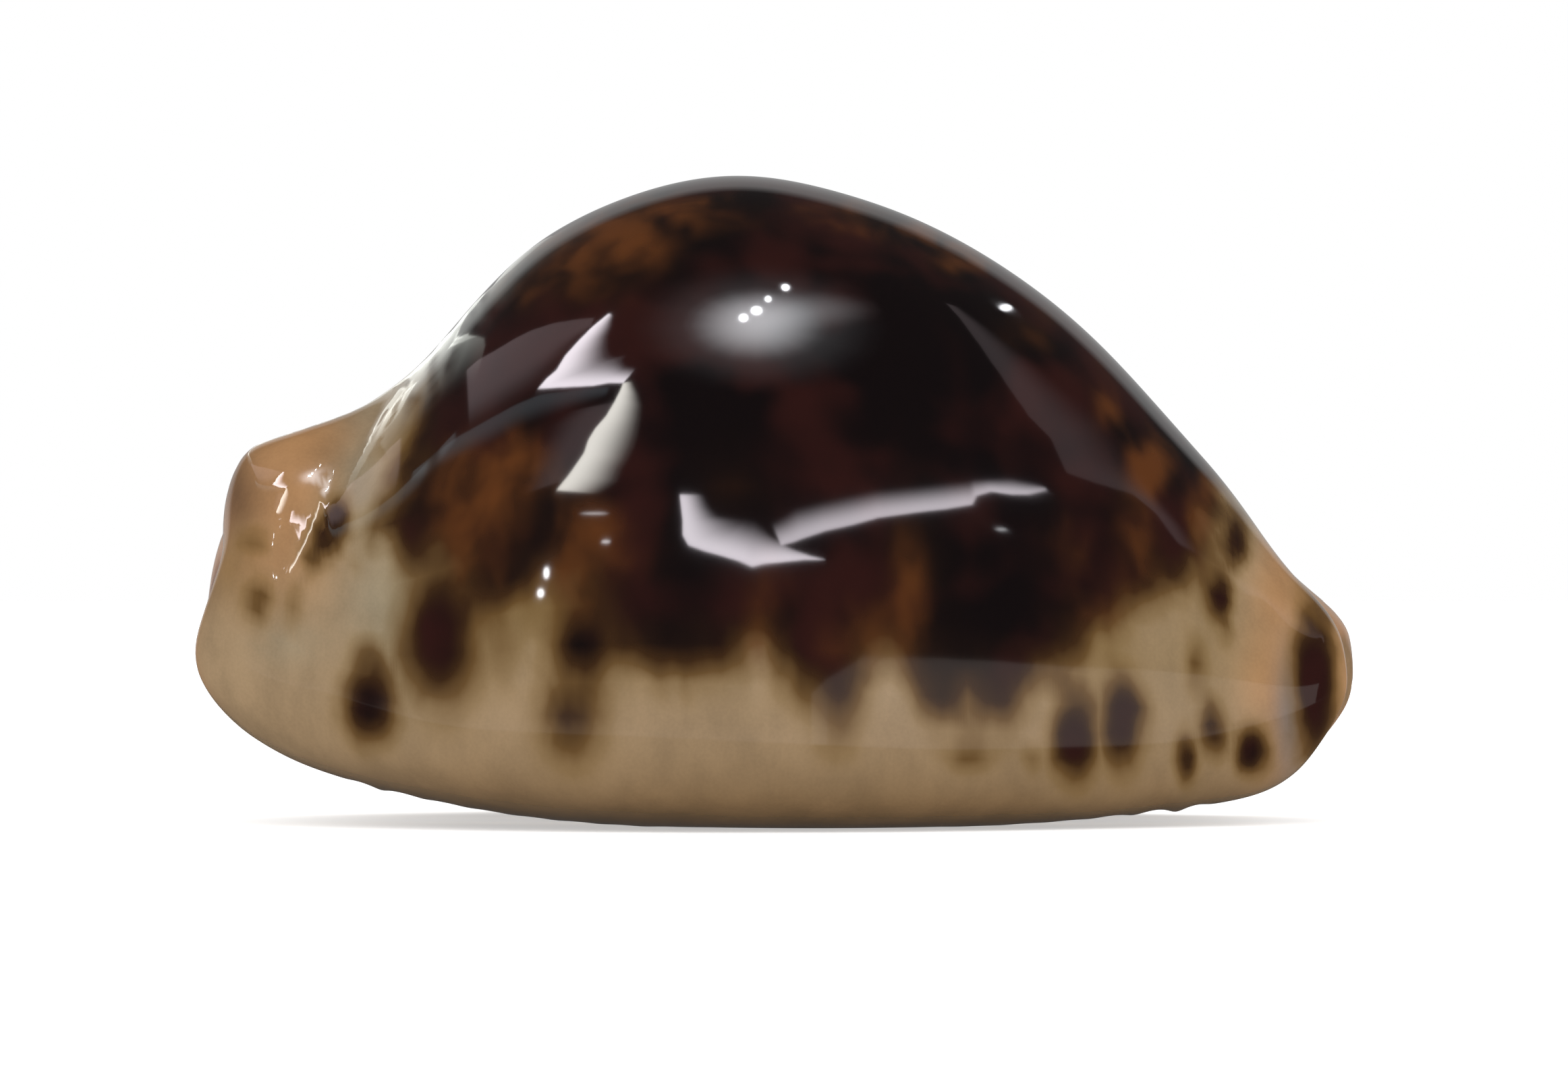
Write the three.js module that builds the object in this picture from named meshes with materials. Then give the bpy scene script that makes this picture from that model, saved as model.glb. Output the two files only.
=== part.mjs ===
// A humped cowrie shell, empty, resting on its base.
// Millimetres, +Z up. The spire end points along -X, the siphon end along +X, the outer lip faces -Y.
// The shell is one grown piece: a wall rolled round a hollow, open below in one toothed slit
// that runs out through a canal at each end. The slit's two lips are rolled inwards.

import * as THREE from "three";

// Half the length of a grown shell.
const HALF_LENGTH = 40.2;

// Profiles along the shell, each a list of [x, value].
// The silhouette from the side: the humped back, and the sole, which curves up to both ends.
const backHeight = along([
  [-40, 27.4],
  [-36, 27.7],
  [-32, 28.4],
  [-29, 28.8],
  [-26.3, 29.7],
  [-23, 33.4],
  [-18, 38.9],
  [-12, 42.5],
  [-3, 44.6],
  [5, 43.2],
  [13, 39.8],
  [21, 34.1],
  [29, 25.3],
  [35, 18.7],
  [38, 16.6],
  [40, 15.8],
]);
const soleHeight = along([
  [-40, 7.4],
  [-36, 5.2],
  [-31, 3.3],
  [-26, 1.9],
  [-18, 0.45],
  [-10, -0.2],
  [2, -0.5],
  [14, -0.25],
  [22, 0.15],
  [29, 1],
  [34, 2.2],
  [38, 3.8],
  [40, 5],
]);

// The widest line of each flank: how high it runs, and how far it reaches from the middle.
const flankHeight = along([
  [-40, 12.8],
  [-36, 11],
  [-30, 7.8],
  [-22, 5.4],
  [-8, 3.8],
  [10, 3.2],
  [24, 4],
  [32, 6],
  [40, 9.2],
]);
const outerFlankReach = along([
  [-40, 9.6],
  [-36, 12.2],
  [-30, 16],
  [-22, 21.3],
  [-12, 25.2],
  [-3, 26.2],
  [8, 24.8],
  [18, 20.8],
  [27, 15.6],
  [33, 11.6],
  [40, 8.2],
]);
const innerFlankReach = along([
  [-40, 9],
  [-36, 11.4],
  [-30, 15],
  [-22, 20.2],
  [-12, 24.2],
  [-3, 25.4],
  [8, 24],
  [18, 20],
  [27, 14.8],
  [33, 11.2],
  [40, 8.4],
]);

// The slit: its middle line, half its width, and the radius of the lips rolled into it.
const slitMiddle = along([
  [-40, 1.6],
  [-30, 1.2],
  [-15, 0],
  [5, -0.8],
  [25, -0.5],
  [40, 0],
]);
const slitHalfWidth = along([
  [-40, 3.1],
  [-28, 3.2],
  [-10, 3.3],
  [10, 3.5],
  [26, 4],
  [34, 3.5],
  [40, 3],
]);
const lipRadius = along([
  [-40, 1.8],
  [-25, 2.5],
  [0, 3],
  [25, 2.5],
  [40, 1.6],
]);

// The hollow: its roof, and its widest line's height and reach. Its floor is never narrower
// than a little beside the lips.
const roofHeight = along([
  [-40, 14.5],
  [-36, 16],
  [-33, 18],
  [-27, 25],
  [-20, 34],
  [-12, 39.6],
  [-3, 42],
  [8, 39.6],
  [18, 33.6],
  [27, 24],
  [34, 13],
  [40, 10.4],
]);
const LEAST_FLOOR = 0.3;
const hollowHeight = along([
  [-40, 12],
  [-30, 12.5],
  [-15, 14],
  [5, 14],
  [25, 11],
  [40, 8.6],
]);
const hollowReach = along([
  [-40, 5],
  [-34, 6],
  [-27, 10.5],
  [-18, 17.5],
  [-3, 20.6],
  [10, 19.2],
  [20, 14.6],
  [28, 8.8],
  [34, 6],
  [40, 4.8],
]);

// Squareness of the section's curves, where 2 is an ellipse.
const BACK_SQUARENESS = 2.2;
const SOLE_SQUARENESS = 2.5;
const HOLLOW_SQUARENESS = 2.2;

// The sole lifts a little towards the slit, so that the shell stands on two worn flats beside it.
// The lift fades over LIFT_ENDS along the shell and over LIFT_TOP above the sole.
const LIFT_AT_SLIT = 1.1;
const LIFT_WIDTH = 6;
const LIFT_ENDS = [20, 34];
const LIFT_TOP = [2, 5];

// Each end has a notch in its roof, where the canal opens between two tips. The rim round the
// canal draws back from the tips at its crest, at its floor and at the slit's two lips, and at
// the siphon end the whole outer lip stands a little behind the inner one.
const SPIRE_END = {
  tip: -HALF_LENGTH,
  start: -26,
  notch: { middle: 2, width: 4.2, depth: 6.5, drawback: 4.5 },
  crestDrawback: 2.4,
  floorDrawback: 2.6,
  lipDrawback: 3.2,
  outerLipDrawback: 0,
};
const SIPHON_END = {
  tip: HALF_LENGTH,
  start: 30,
  notch: { middle: 0, width: 3.2, depth: 2.2, drawback: 3.4 },
  crestDrawback: 0.8,
  floorDrawback: 3,
  lipDrawback: 3.2,
  outerLipDrawback: 1.3,
};
const OUTER_LIP_START = [1, -3];

// At the spire end an ear of the outer lip stands off the hump behind a furrow, given by its
// top and its foot as [x, z], and a nick in its rim opens the side of the canal.
const FURROW = { top: [-27, 30], foot: [-34, 16], width: 2.4, depth: 1.5 };
const FURROW_FADE = [2, -3];
const EAR = { x: -34, z: 22.5, width: 5, bulge: 1.5 };
const NICK = { z: 17.2, width: 3.2, depth: 2 };
const LIP_CORNER = 3.6;
const CREST_HALF_WIDTH = 5;

// Teeth: one wave of the lips each, four stations to a tooth, fading out on to the sole,
// sooner on the inner lip.
const TEETH = 20;
const TOOTH_START = -30;
const TOOTH_LENGTH = 3;
const STATIONS_PER_TOOTH = 4;
const TOOTH_HEIGHT = 0.55;
const OUTER_TOOTH_REACH = 5.5;
const INNER_TOOTH_REACH = 4;

// The rim round each canal is rounded off over its last stretch, almost to an edge.
const RIM_LENGTH = 3.4;
const RIM_STEPS = 4;
const RIM_LAST_TURN = 76;
const END_STEPS = 4;

// Steps round a section.
const NOSE_STEPS = 2;
const SOLE_STEPS = 6;
const SOLE_STEP_BIAS = 1.4;
const BACK_STEPS = 12;
const FLOOR_STEPS = 3;
const ROOF_STEPS = 10;

// A smooth value along the shell near [x, value] points: the spline through them, averaged over
// a short stretch so that the glazed back has no line across it where two points' curves meet.
function along(points) {
  const spline = new THREE.CubicInterpolant(
    points.map((point) => point[0]),
    points.map((point) => point[1]),
    1,
  );
  const stretch = [-2.4, -1.2, 0, 1.2, 2.4];
  return (x) => stretch.reduce((sum, shift) => sum + spline.evaluate(x + shift)[0], 0) / 5;
}

function bell(offset, width) {
  return Math.exp(-((offset / width) ** 2));
}

function share(value, from, to) {
  return THREE.MathUtils.clamp((value - from) / (to - from), 0, 1);
}

function smoothShare(value, from, to) {
  return THREE.MathUtils.smoothstep(share(value, from, to), 0, 1);
}

// A quarter of a superellipse, from (0, 1) at turn 0 to (1, 0) at turn 1.
function quarter(turn, squareness) {
  const angle = (turn * Math.PI) / 2;
  const power = 2 / squareness;
  return [Math.sin(angle) ** power, Math.max(Math.cos(angle), 0) ** power];
}

function flankReach(x, side) {
  return side < 0 ? outerFlankReach(x) : innerFlankReach(x);
}

// The y of a point that lies across from the slit's middle line: side is -1 at the outer lip
// and 1 at the inner lip, and the slit's bend fades out towards the flank.
function besideSlit(x, side, across, reach) {
  return side * across + slitMiddle(x) * (1 - across / reach);
}

// The rolled lip's nose, from the sole at turn 0 to the hollow's floor at turn 1.
function nose(x, side, turn) {
  const radius = lipRadius(x);
  const angle = turn * Math.PI;
  const across = slitHalfWidth(x) + radius * (1 - Math.sin(angle));
  const tooth = TOOTH_HEIGHT * toothWave(x);
  return new THREE.Vector3(
    0,
    besideSlit(x, side, across - tooth * Math.sin(angle), flankReach(x, side)),
    soleHeight(x) + radius * (1 - Math.cos(angle)) - tooth * Math.cos(angle),
  );
}

// The sole, from the nose at turn 0 to the widest line of the flank at turn 1.
function sole(x, side, turn) {
  const reach = flankReach(x, side);
  const root = slitHalfWidth(x) + lipRadius(x);
  const [out, down] = quarter(turn ** SOLE_STEP_BIAS, SOLE_SQUARENESS);
  const across = root + (reach - root) * out;
  const toothReach = side < 0 ? OUTER_TOOTH_REACH : INNER_TOOTH_REACH;
  const tooth = TOOTH_HEIGHT * toothWave(x) * (1 - share(across, root, root + toothReach));
  return new THREE.Vector3(
    0,
    besideSlit(x, side, across, reach),
    THREE.MathUtils.lerp(flankHeight(x), soleHeight(x), down) - tooth,
  );
}

// The back, from one flank at turn -1 over the crest to the other at turn 1.
function back(x, turn) {
  const side = Math.sign(turn);
  const [out, up] = quarter(Math.abs(turn), BACK_SQUARENESS);
  const y = side * flankReach(x, side) * out;
  const { tip, start, notch } = endOf(x);
  const notchDepth = notch.depth * smoothShare(x, start, tip);
  const dip = notchDepth * up * bell(y - notch.middle, notch.width);
  return new THREE.Vector3(
    0,
    y,
    THREE.MathUtils.lerp(flankHeight(x), backHeight(x), up) - dip,
  );
}

// The hollow's floor, from the nose at turn 0 to its widest line at turn 1.
function floor(x, side, turn) {
  const root = slitHalfWidth(x) + lipRadius(x);
  const reach = Math.max(hollowReach(x), root + LEAST_FLOOR);
  const [out, down] = quarter(turn, HOLLOW_SQUARENESS);
  const floorHeight = soleHeight(x) + 2 * lipRadius(x);
  return new THREE.Vector3(
    0,
    besideSlit(x, side, root + (reach - root) * out, flankReach(x, side)),
    THREE.MathUtils.lerp(hollowHeight(x), floorHeight, down),
  );
}

// The hollow's roof, from one side at turn -1 to the other at turn 1.
function roof(x, turn) {
  const side = Math.sign(turn);
  const root = slitHalfWidth(x) + lipRadius(x);
  const reach = Math.max(hollowReach(x), root + LEAST_FLOOR);
  const [out, up] = quarter(Math.abs(turn), HOLLOW_SQUARENESS);
  return new THREE.Vector3(
    0,
    besideSlit(x, side, reach * out, flankReach(x, side)),
    THREE.MathUtils.lerp(hollowHeight(x), roofHeight(x), up),
  );
}

function toothWave(x) {
  const turns = (x - TOOTH_START) / TOOTH_LENGTH;
  const inRow = smoothShare(turns, 0, 1) * smoothShare(turns, TEETH, TEETH - 1);
  return inRow * Math.cos(2 * Math.PI * turns);
}

function endOf(x) {
  return x < 0 ? SPIRE_END : SIPHON_END;
}

// Stops round a section. Each is a pair of functions of x: the point itself, and the point
// across the wall from it, towards which the rim's rounding draws it.
function stretch(count, from, to, point, across) {
  return Array.from({ length: count }, (_, i) => {
    const turn = THREE.MathUtils.lerp(from, to, (i + 1) / count);
    return { point: (x) => point(x, turn), across: (x) => across(x, turn) };
  });
}

const outside = [
  ...stretch(1, 0.5, 0.5, (x, t) => nose(x, -1, t), (x, t) => nose(x, -1, t)),
  ...stretch(NOSE_STEPS, 0.5, 0, (x, t) => nose(x, -1, t), (x, t) => nose(x, -1, 1 - t)),
  ...stretch(SOLE_STEPS, 0, 1, (x, t) => sole(x, -1, t), (x, t) => floor(x, -1, t)),
  ...stretch(BACK_STEPS, -1, 1, back, roof),
  ...stretch(SOLE_STEPS, 1, 0, (x, t) => sole(x, 1, t), (x, t) => floor(x, 1, t)),
  ...stretch(NOSE_STEPS, 0, 0.5, (x, t) => nose(x, 1, t), (x, t) => nose(x, 1, 1 - t)),
];
const inside = [
  ...stretch(NOSE_STEPS, 0.5, 1, (x, t) => nose(x, 1, t), (x, t) => nose(x, 1, 1 - t)),
  ...stretch(FLOOR_STEPS, 0, 1, (x, t) => floor(x, 1, t), (x, t) => sole(x, 1, t)),
  ...stretch(ROOF_STEPS, 1, -1, roof, back),
  ...stretch(FLOOR_STEPS, 1, 0, (x, t) => floor(x, -1, t), (x, t) => sole(x, -1, t)),
  ...stretch(NOSE_STEPS, 1, 0.5, (x, t) => nose(x, -1, t), (x, t) => nose(x, -1, 1 - t)).slice(0, -1),
];

// Stations along the shell: where the section is taken, and how far round the rim's rounding
// it stands, from 0 on the body to 1 at the rim.
function stations() {
  const rimStart = HALF_LENGTH - RIM_LENGTH;
  const toothEnd = TOOTH_START + TEETH * TOOTH_LENGTH;
  const rimTurns = Array.from({ length: RIM_STEPS }, (_, i) => (i + 1) / RIM_STEPS);
  const between = (count, from, to) =>
    Array.from({ length: count }, (_, i) => THREE.MathUtils.lerp(from, to, i / count));
  return [
    ...rimTurns.toReversed().map((turn) => ({ x: -rimStart, turn })),
    ...between(END_STEPS, -rimStart, TOOTH_START).map((x) => ({ x, turn: 0 })),
    ...between(TEETH * STATIONS_PER_TOOTH, TOOTH_START, toothEnd).map((x) => ({ x, turn: 0 })),
    ...between(END_STEPS, toothEnd, rimStart).map((x) => ({ x, turn: 0 })),
    { x: rimStart, turn: 0 },
    ...rimTurns.map((turn) => ({ x: rimStart, turn })),
  ];
}

// Where a stop stands at a station, with the rim rounded and the end's own form put on.
function place(stop, station, isOutside) {
  const angle = THREE.MathUtils.degToRad(station.turn * RIM_LAST_TURN);
  const sectionX = station.x + Math.sign(station.x) * RIM_LENGTH * Math.sin(angle);
  const own = new THREE.Vector3(sectionX, 0, 0).add(stop.point(sectionX));
  const middleOfWall = new THREE.Vector3(sectionX, 0, 0).add(stop.across(sectionX)).lerp(own, 0.5);
  const point = middleOfWall.clone().lerp(own, Math.cos(angle));
  if (isOutside) {
    liftAtSlit(point);
    shapeEar(point);
  }
  point.x -= Math.sign(sectionX) * drawnBack(middleOfWall);
  point.z = Math.max(point.z, 0);
  return point;
}

function liftAtSlit(point) {
  const fromLip = Math.abs(point.y - slitMiddle(point.x)) - slitHalfWidth(point.x);
  const onSole = 1 - share(point.z - soleHeight(point.x), ...LIFT_TOP);
  const fade = 1 - smoothShare(Math.abs(point.x), ...LIFT_ENDS);
  point.z += LIFT_AT_SLIT * onSole * fade * bell(Math.max(fromLip, 0), LIFT_WIDTH);
}

// Presses the furrow into both sides of the spire end, and swells the ear beyond it.
function shapeEar(point) {
  const [topX, topZ] = FURROW.top;
  const [footX, footZ] = FURROW.foot;
  const down = share(point.z, topZ, footZ);
  const lineX = THREE.MathUtils.lerp(topX, footX, down);
  const fade = 1 - smoothShare(point.z - footZ, ...FURROW_FADE);
  const pressed = FURROW.depth * bell(point.x - lineX, FURROW.width) * fade;
  const swollen = EAR.bulge * bell(point.x - EAR.x, EAR.width) * bell(point.z - EAR.z, EAR.width);
  const side = THREE.MathUtils.clamp(point.y / CREST_HALF_WIDTH, -1, 1);
  point.y += side * (swollen - pressed);
}

// How far the end's rim is drawn back behind its tips, for a point in the middle of the wall.
function drawnBack({ x, y, z }) {
  const end = endOf(x);
  const above = share(z, flankHeight(x), backHeight(x));
  const below = share(z, flankHeight(x), soleHeight(x));
  const fromLip = Math.max(Math.abs(y - slitMiddle(x)) - slitHalfWidth(x), 0);
  const onOuterLip = share(y, ...OUTER_LIP_START);
  const onOuterEar = x < 0 && y < 0 ? 1 : 0;
  return (
    share(x, end.start, end.tip) ** 2 *
    (end.notch.drawback * above * bell(y - end.notch.middle, end.notch.width) +
      end.crestDrawback * above ** 2 +
      end.floorDrawback * below ** 2 +
      end.lipDrawback * below * bell(fromLip, LIP_CORNER) +
      end.outerLipDrawback * onOuterLip +
      onOuterEar * NICK.depth * bell(z - NICK.z, NICK.width))
  );
}

// Joins the stations' loops into one closed mesh, with a strip across the wall at each rim.
function shellGeometry() {
  const rows = stations().map((station) => [
    ...outside.map((stop) => place(stop, station, true)),
    ...inside.map((stop) => place(stop, station, false)),
  ]);
  const around = rows[0].length;
  const positions = rows.flat().flatMap((point) => point.toArray());
  const triangles = [];
  for (let row = 0; row + 1 < rows.length; row += 1) {
    for (let stop = 0; stop < around; stop += 1) {
      const here = row * around + stop;
      const next = row * around + ((stop + 1) % around);
      triangles.push(here, here + around, next, next, here + around, next + around);
    }
  }
  triangles.push(...rimStrip(0, around).toReversed());
  triangles.push(...rimStrip((rows.length - 1) * around, around));
  const geometry = new THREE.BufferGeometry();
  geometry.setAttribute("position", new THREE.Float32BufferAttribute(positions, 3));
  geometry.setIndex(triangles);
  geometry.computeVertexNormals();
  geometry.computeBoundingBox();
  const middle = geometry.boundingBox.getCenter(new THREE.Vector3());
  geometry.translate(-middle.x, -middle.y, -geometry.boundingBox.min.z);
  return geometry;
}

// The strip between the outside and the inside of the loop that starts at this vertex: it walks
// both from the outer lip's nose, and steps on whichever side is behind.
function rimStrip(first, around) {
  const far = outside.length - 1;
  const steps = around - far;
  const strip = [];
  let out = 0;
  let back = 0;
  while (out < far || back < steps) {
    const outer = first + out;
    const inner = first + ((around - back) % around);
    if (out < far && (back === steps || (out + 1) / far <= (back + 1) / steps)) {
      if (inner !== outer && inner !== outer + 1) strip.push(outer, inner, outer + 1);
      out += 1;
    } else {
      const nextInner = first + around - back - 1;
      if (nextInner !== outer) strip.push(outer, inner, nextInner);
      back += 1;
    }
  }
  return strip;
}

const shell = new THREE.Mesh(
  shellGeometry(),
  new THREE.MeshStandardMaterial({ color: 0x3a1d14, roughness: 0.12, metalness: 0 }),
);
shell.name = "shell";

const cowrie = new THREE.Group();
cowrie.add(shell);
export default cowrie;
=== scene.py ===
import math
import random

import bpy
import numpy as np
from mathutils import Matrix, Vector, noise
from mathutils.bvhtree import BVHTree
from mathutils.interpolate import poly_3d_calc


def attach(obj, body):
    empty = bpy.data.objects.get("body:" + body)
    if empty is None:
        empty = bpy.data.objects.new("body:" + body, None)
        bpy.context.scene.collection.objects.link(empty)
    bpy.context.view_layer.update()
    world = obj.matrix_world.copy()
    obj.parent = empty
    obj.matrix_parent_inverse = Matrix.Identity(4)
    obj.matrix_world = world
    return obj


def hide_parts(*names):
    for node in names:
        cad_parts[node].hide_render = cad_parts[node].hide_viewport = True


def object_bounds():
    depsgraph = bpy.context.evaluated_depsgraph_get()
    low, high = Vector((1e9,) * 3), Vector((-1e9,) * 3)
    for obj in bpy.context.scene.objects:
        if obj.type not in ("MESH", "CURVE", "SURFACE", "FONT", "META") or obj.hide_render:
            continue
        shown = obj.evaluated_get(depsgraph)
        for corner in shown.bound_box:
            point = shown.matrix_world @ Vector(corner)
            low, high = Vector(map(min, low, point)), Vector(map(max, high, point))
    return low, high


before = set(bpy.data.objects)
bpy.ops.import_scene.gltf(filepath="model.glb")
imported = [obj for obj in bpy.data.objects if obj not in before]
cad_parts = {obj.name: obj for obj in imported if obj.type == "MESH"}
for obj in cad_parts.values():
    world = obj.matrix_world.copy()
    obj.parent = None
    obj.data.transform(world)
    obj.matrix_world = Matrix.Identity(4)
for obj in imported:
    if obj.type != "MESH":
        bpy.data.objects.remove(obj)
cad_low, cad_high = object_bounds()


# The shell's wall: one grown piece, rolled round its hollow, with a toothed slit underneath.
# The CAD solid gives its form. Here its facets are turned into one smooth skin, and the furrow and
# the slightly uneven back are worked in, as the animal's mantle lays them down.
MM = 0.001
MERGE_DISTANCE = 0.002
SMOOTHING_LEVELS = 2

bpy.ops.object.select_all(action="DESELECT")
shell_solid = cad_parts["shell"]
shell = shell_solid.copy()
shell.data = shell_solid.data.copy()
shell.name = "glazed_shell"
shell.data.name = "glazed_shell"
shell.parent = None
bpy.context.collection.objects.link(shell)
shell.select_set(True)
bpy.context.view_layer.objects.active = shell
shell.data.materials.clear()

bpy.ops.object.mode_set(mode="EDIT")
bpy.ops.mesh.select_all(action="SELECT")
bpy.ops.mesh.remove_doubles(threshold=MERGE_DISTANCE * MM)
bpy.ops.mesh.tris_convert_to_quads(topology_influence=2)
bpy.ops.object.mode_set(mode="OBJECT")
skin = shell.modifiers.new("skin", "SUBSURF")
skin.levels = SMOOTHING_LEVELS
skin.render_levels = SMOOTHING_LEVELS
bpy.ops.object.modifier_apply(modifier=skin.name)
bpy.ops.object.shade_smooth()


def read_points(piece):
    points = np.empty(len(piece.data.vertices) * 3)
    piece.data.vertices.foreach_get("co", points)
    return points.reshape(-1, 3) / MM


def read_normals(piece):
    normals = np.empty(len(piece.data.vertices) * 3)
    piece.data.vertices.foreach_get("normal", normals)
    return normals.reshape(-1, 3)


def write_points(piece, points):
    piece.data.vertices.foreach_set("co", (points * MM).ravel())
    piece.data.update()


def step_up(value, low, high):
    """0 below low and 1 above high, with a soft passage between."""
    share = np.clip((value - low) / (high - low), 0, 1)
    return share * share * (3 - 2 * share)


def bell(distance, width):
    return np.exp(-((distance / width) ** 2))


def uneven(points, size, seed):
    """Soft noise from about -1 to 1, with bumps of about that size in millimetres."""
    offset = Vector((seed * 17.3, seed * 5.1, seed * 9.7))
    return np.array([noise.noise(Vector(p) / size + offset) for p in points.tolist()])


def distance_to_line(x, z, start, end):
    """How far each point is from a straight stroke in the side view, and how far along it is."""
    stroke = np.array(end) - np.array(start)
    along = ((x - start[0]) * stroke[0] + (z - start[1]) * stroke[1]) / (stroke @ stroke)
    clamped = np.clip(along, 0, 1)
    return np.hypot(x - start[0] - clamped * stroke[0], z - start[1] - clamped * stroke[1]), along


# The slit's middle line and half its width, as the solid has them, and the hollow's middle height.
SLIT_X = [-40, -30, -15, 5, 25, 40]
SLIT_Y = [1.6, 1.2, 0, -0.8, -0.5, 0]
SLIT_HALF_X = [-40, -28, -10, 10, 26, 34, 40]
SLIT_HALF = [3.1, 3.2, 3.3, 3.5, 4, 3.5, 3]
HOLLOW_X = [-40, -30, -15, 10, 25, 40]
HOLLOW_Z = [11, 14, 20, 20, 14, 8.5]

# The furrow's stroke in the side view, and the shares of its length between which it runs out.
FURROW_TOP = (-27.2, 29.4)
FURROW_FOOT = (-33.6, 16)
FURROW_WIDTH = 0.9
FURROW_DEPTH = 0.5
FURROW_RUNS_OUT = (0.75, 1.1)
FLANK_STARTS = (2, 6)

# The uneven back: how deep and how wide its swells are, and the height at which it starts.
GROWTH_DEPTH = 0.1
GROWTH_SIZE = 12
BACK_STARTS = (5, 12)

# A face is on the outside where its normal points this much away from the hollow's middle.
OUTSIDE_STARTS = (-0.2, 0.25)

points = read_points(shell)
normals = read_normals(shell)
x, y, z = points.T
from_slit_middle = y - np.interp(x, SLIT_X, SLIT_Y)
from_axis = np.stack([from_slit_middle, z - np.interp(x, HOLLOW_X, HOLLOW_Z)], axis=1)
from_axis /= np.linalg.norm(from_axis, axis=1, keepdims=True)
facing_out = normals[:, 1] * from_axis[:, 0] + normals[:, 2] * from_axis[:, 1]
outside = step_up(facing_out, *OUTSIDE_STARTS)
from_lip = np.abs(from_slit_middle) - np.interp(x, SLIT_HALF_X, SLIT_HALF)

furrow_distance, furrow_along = distance_to_line(x, z, FURROW_TOP, FURROW_FOOT)
furrow = bell(furrow_distance, FURROW_WIDTH) * (1 - step_up(furrow_along, *FURROW_RUNS_OUT))
on_flank = outside * step_up(np.abs(y), *FLANK_STARTS)
growth = uneven(points, GROWTH_SIZE, 1)
on_back = outside * step_up(z, *BACK_STARTS)
move = -FURROW_DEPTH * furrow * on_flank + GROWTH_DEPTH * growth * on_back
points = points + normals * move[:, None]

# Smoothing draws the skin in a little at the tips, so it is let out again to the solid's own size.
solid_low = np.array(cad_low) / MM
solid_high = np.array(cad_high) / MM
share_of_size = (points - points.min(axis=0)) / (points.max(axis=0) - points.min(axis=0))
points = solid_low + share_of_size * (solid_high - solid_low)
write_points(shell, points)

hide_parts("shell")
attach(shell, "root")


# The colour that the mantle laid down: a tan ground with peach ends, soft brown spots along the
# margins, and a dark tortoiseshell cover on the back. The marks on the outer lip's side are placed
# as they are seen from 0.6 m off, and those on the other side by a seeded draw.
# Not all of it is the mantle's: the ground also holds painted shade towards the base and two
# painted reflections.
TAN = (0.275, 0.19, 0.108)
CREAM = (0.265, 0.198, 0.125)
PEACH = (0.40, 0.20, 0.083)
CLAY = (0.33, 0.175, 0.075)
SMOKE = (0.06, 0.034, 0.02)
# Sage: a grey-green tint of the ground, also used for the painted sheen in the furrow.
SAGE_AND_PAINTED_SHEEN = (0.25, 0.225, 0.16)
OLIVE = (0.16, 0.105, 0.04)
# Fawn of the base, darkened further to stand in for the shade there: partly painted shade.
FAWN_AND_PAINTED_SHADE = (0.135, 0.078, 0.033)
PEARL = (0.40, 0.36, 0.36)
LILAC = (0.16, 0.14, 0.148)
# A painted reflection: the grey sheen on the curved lip at the siphon end.
PAINTED_SLATE_REFLECTION = (0.13, 0.115, 0.12)
FAR_LIP = (0.24, 0.155, 0.085)
RIM_LINE = (0.42, 0.22, 0.11)
TOOTH_WHITE = (0.46, 0.35, 0.23)

# Where the marks on the outer lip's side are seen from: distance and height in millimetres.
SEEN_FROM = 600
SEEN_HEIGHT = 19.7

# How fast a mark fades from its middle, how far past its own size it reaches, and how far from its
# edge line the cover is still soft.
MARK_STEEPNESS = 2
MARK_SPREAD = 1.34
COVER_SOFT_EDGE = (-3.3, 2.6)

# How far along the shell its canals start, and how their rims face, how wide and how pale they are.
CANALS_START = (34, 37)
RIM_FACING = 0.05
RIM_WIDTH = 0.3
RIM_PALENESS = 0.9

# The cover's lower edge on the outer lip's side, and its left edge, as points x, z.
COVER_FOOT = [
    (-32, 18.4),
    (-27.3, 20.4),
    (-25.4, 19.6),
    (-23.4, 18.6),
    (-21.6, 16.6),
    (-19.8, 15.6),
    (-18, 15.6),
    (-16.9, 16.6),
    (-15.4, 16.9),
    (-13.4, 16.2),
    (-11.9, 14.2),
    (-10.8, 12),
    (-9, 11),
    (-6.5, 10.4),
    (-3.4, 10.8),
    (-1.9, 11.8),
    (-0.9, 12.4),
    (0, 10.6),
    (1.6, 9.3),
    (4, 9),
    (5.2, 10.2),
    (6.4, 11.5),
    (8.6, 11.6),
    (10.2, 10.4),
    (12.2, 9.6),
    (15, 9.6),
    (17.4, 10.2),
    (19.6, 11.2),
    (21.5, 12.9),
    (23.4, 14.8),
    (25.6, 15.6),
    (27.6, 16.6),
    (29.2, 18.2),
    (29.9, 20.6),
    (30.4, 24),
    (32, 34),
]
COVER_SIDE = [
    (-28.6, 12),
    (-27.5, 17.8),
    (-27.2, 19.4),
    (-26.3, 23),
    (-25.6, 25.6),
    (-24.6, 29.4),
    (-24.2, 34),
    (-21, 46),
]

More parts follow.
